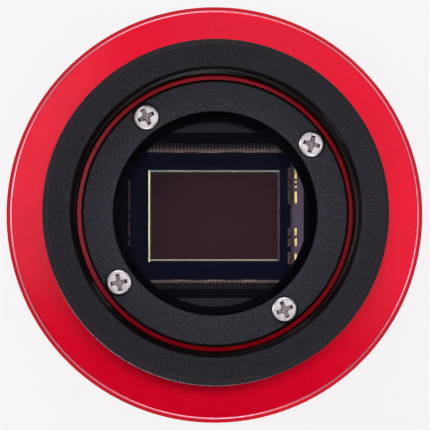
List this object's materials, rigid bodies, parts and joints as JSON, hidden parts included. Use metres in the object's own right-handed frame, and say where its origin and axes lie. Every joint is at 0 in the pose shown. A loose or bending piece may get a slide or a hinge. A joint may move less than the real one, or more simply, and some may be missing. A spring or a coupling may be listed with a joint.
{
  "type": "astronomy guide camera",
  "caption": "Round red camera head for autoguiding: black two-inch adapter with a T2 bore screwed on the front, clamped window over an image sensor, data and guide sockets in the rear.",
  "frame": {"origin": "centre of the flat rear face", "axes": "+Z along the optical axis, out of the front; +X right and +Y up when the front is looked at"},
  "size_m": [0.062, 0.062, 0.041],
  "materials": {
    "red_anodised": "fine bead-blasted red anodising",
    "black_anodised": "satin black anodising, turned",
    "clamp_black": "bead-blasted black anodising",
    "mask_black": "matt black anodising",
    "screw_steel": "bright stainless steel",
    "bush_steel": "turned stainless steel",
    "shim_steel": "bright rolled sheet",
    "window_glass": "coated optical glass",
    "lid_glass": "coated cover glass",
    "seal_rubber": "black nitrile",
    "gasket_foam": "black foam",
    "package_ceramic": "dark ceramic",
    "die_silicon": "polished silicon",
    "pixel_film": "coated microlens surface",
    "pad_gold": "gold plating",
    "board_green": "solder mask over glass epoxy",
    "chip_black": "moulded epoxy",
    "crystal_can": "nickel-plated can",
    "ferrite": "pressed ferrite",
    "capacitor_body": "fired ceramic",
    "connector_plastic": "ivory moulding",
    "spacer_brass": "turned brass",
    "stack_screw_steel": "zinc-plated steel",
    "socket_shell": "nickel-plated sheet",
    "usb_blue": "blue moulding",
    "contact_gold": "gold-plated spring strip",
    "jack_plastic": "black moulding"
  },
  "bodies": {
    "housing": {"front_housing": "red_anodised", "rear_cover": "red_anodised", "cover_screws": "screw_steel", "tripod_bush": "bush_steel", "window_clamp": "clamp_black", "clamp_screws": "screw_steel", "window": "window_glass", "window_seal": "seal_rubber", "sensor_mask": "mask_black", "sensor_gasket": "gasket_foam", "sensor_package": "package_ceramic", "sensor_lid": "lid_glass", "sensor_die": "die_silicon", "pixel_array": "pixel_film", "bond_pads": "pad_gold", "sensor_board": "board_green", "main_board": "board_green", "image_processor": "chip_black", "frame_memory": "chip_black", "usb_controller": "chip_black", "clock_crystal": "crystal_can", "power_inductors": "ferrite", "board_capacitors": "capacitor_body", "board_connector_upper": "connector_plastic", "board_connector_lower": "connector_plastic", "stack_spacers": "spacer_brass", "stack_screws": "stack_screw_steel", "usb_shell": "socket_shell", "usb_insulator": "usb_blue", "usb_contacts": "contact_gold", "guide_jack": "jack_plastic", "guide_contacts": "contact_gold"},
    "spacer": {"adapter_shim": "shim_steel"},
    "adapter": {"adapter_ring": "black_anodised"}
  },
  "joints": [
    {"name": "adapter_lift", "type": "slide", "parent": "housing", "child": "spacer", "axis": [0, 0, 1], "range_m": [0, 0.0046]},
    {"name": "adapter_turn", "type": "hinge", "parent": "spacer", "child": "adapter", "pos_m": [0, 0, 0.0352], "axis": [0, 0, 1], "range_deg": [0, 2160]}
  ],
  "couplings": [
    {"joint": "adapter_lift", "follows": "adapter_turn", "m_per_rad": 0.00011937}
  ]
}
